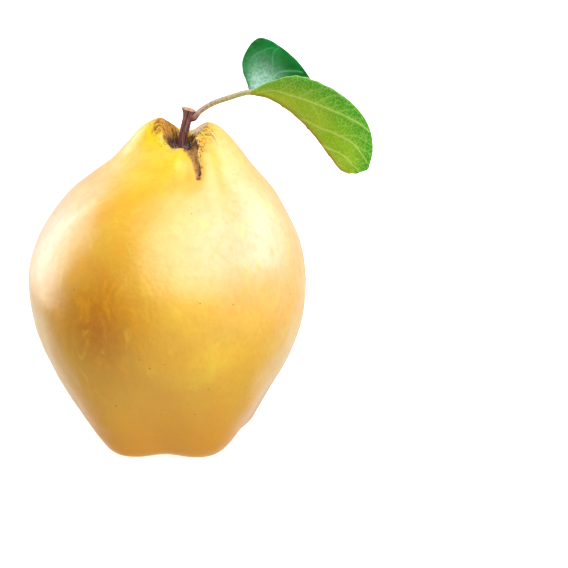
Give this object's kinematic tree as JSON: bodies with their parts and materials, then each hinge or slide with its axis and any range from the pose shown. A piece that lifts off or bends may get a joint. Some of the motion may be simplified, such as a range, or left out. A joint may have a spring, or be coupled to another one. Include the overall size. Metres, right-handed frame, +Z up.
{
  "type": "quince with stem and leaf",
  "caption": "Ripe quince standing on the small flat spot under it, with a short woody stem and one folded leaf.",
  "frame": {"origin": "middle of the bounding box's footprint, on the surface that the fruit stands on", "axes": "+Z up along the fruit, +X towards the side that the leaf hangs over, -Y the front, where a groove runs down from the stem cavity"},
  "size_m": [0.1078, 0.0878, 0.1306],
  "materials": {
    "fruit_skin": "smooth waxy yellow skin with a soft satin sheen",
    "bark": "dry ridged bark, pale where it was cut",
    "stalk_skin": "smooth, pinkish brown turning green",
    "leaf": "dark glossy upper face, pale veined underside",
    "dried_calyx": "dry and shrivelled"
  },
  "bodies": {
    "root": {"fruit": "fruit_skin", "stem": "bark", "leaf_stalk": "stalk_skin", "leaf_blade": "leaf", "stamen_tuft": "dried_calyx", "sepal_1": "dried_calyx", "sepal_2": "dried_calyx", "sepal_3": "dried_calyx", "sepal_4": "dried_calyx", "sepal_5": "dried_calyx"}
  },
  "joints": []
}
